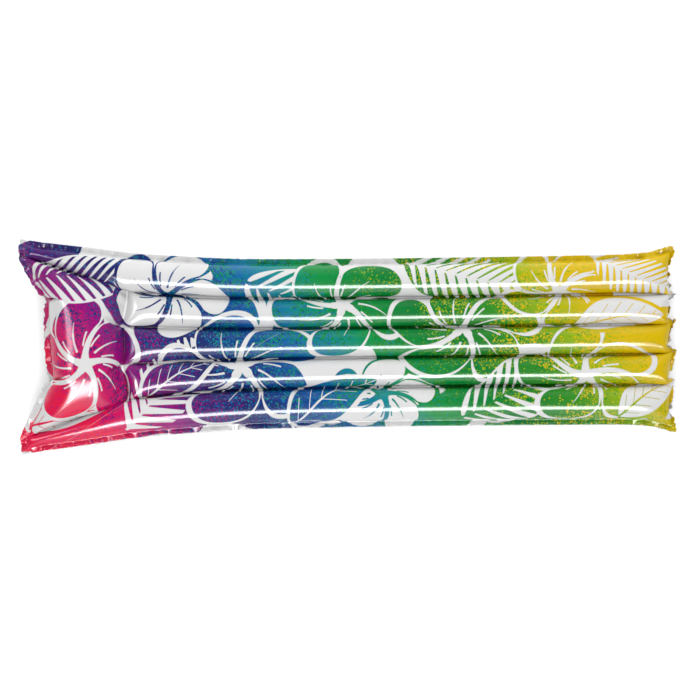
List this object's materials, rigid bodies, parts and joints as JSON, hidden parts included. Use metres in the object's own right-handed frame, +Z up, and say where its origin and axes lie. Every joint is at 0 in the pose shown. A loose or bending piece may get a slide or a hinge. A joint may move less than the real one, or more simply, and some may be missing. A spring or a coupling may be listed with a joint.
{
  "type": "pool air mattress",
  "caption": "Inflated lie-on pool mat with lengthwise air ribs, a built-in pillow between fanned outer ribs, a flat welded rim and sunk push-in valves with strap-held stoppers underneath.",
  "frame": {"origin": "on the floor, under the middle of the mat's outline", "axes": "+X along the mat from head to foot, +Y to the left of a person who lies on it face up, +Z up"},
  "size_m": [1.8, 0.602, 0.1538],
  "materials": {
    "printed_film": "glossy silvery film with a many-coloured print that runs from red at the head through blue and green to yellow at the foot",
    "silver_film": "glossy silvery film, plain",
    "clear_vinyl": "milky clear soft vinyl",
    "valve_vinyl": "white moulded vinyl",
    "stopper_vinyl": "blue moulded vinyl"
  },
  "bodies": {
    "mat": {"top_sheet": "printed_film", "bottom_sheet": "silver_film", "head_valve_flange": "clear_vinyl", "head_valve_skirt": "clear_vinyl", "foot_valve_flange": "clear_vinyl", "foot_valve_skirt": "clear_vinyl"},
    "head_stem": {"head_valve_stem": "valve_vinyl"},
    "head_stopper": {"head_valve_stopper": "stopper_vinyl"},
    "head_flap": {"head_valve_flap": "clear_vinyl"},
    "foot_stem": {"foot_valve_stem": "valve_vinyl"},
    "foot_stopper": {"foot_valve_stopper": "stopper_vinyl"},
    "foot_flap": {"foot_valve_flap": "clear_vinyl"}
  },
  "joints": [
    {"name": "head_stem_slide", "type": "slide", "parent": "mat", "child": "head_stem", "axis": [-0.571, 0.0816, -0.8169], "range_m": [0, 0.015], "deforming": ["head_valve_skirt"]},
    {"name": "head_stopper_hinge", "type": "hinge", "parent": "head_stem", "child": "head_stopper", "pos_m": [-0.79703, -0.10589, 0.01737], "axis": [-0.8196, 0, 0.5729], "range_deg": [0, 120]},
    {"name": "head_flap_hinge", "type": "hinge", "parent": "head_stem", "child": "head_flap", "pos_m": [-0.78981, -0.1021, 0.02769], "axis": [0.8196, 0, -0.5729], "range_deg": [0, 40], "stiffness_Nm_per_rad": 0.0002, "springref_deg": -11.46},
    {"name": "foot_stem_slide", "type": "slide", "parent": "mat", "child": "foot_stem", "axis": [0.2752, 0, -0.9614], "range_m": [0, 0.015], "deforming": ["foot_valve_skirt"]},
    {"name": "foot_stopper_hinge", "type": "hinge", "parent": "foot_stem", "child": "foot_stopper", "pos_m": [0.83861, -0.0102, 0.0161], "axis": [-0.9614, 0, -0.2752], "range_deg": [0, 120]},
    {"name": "foot_flap_hinge", "type": "hinge", "parent": "foot_stem", "child": "foot_flap", "pos_m": [0.83524, -0.0054, 0.02787], "axis": [0.9614, 0, 0.2752], "range_deg": [0, 40], "stiffness_Nm_per_rad": 0.0002, "springref_deg": -11.46}
  ]
}
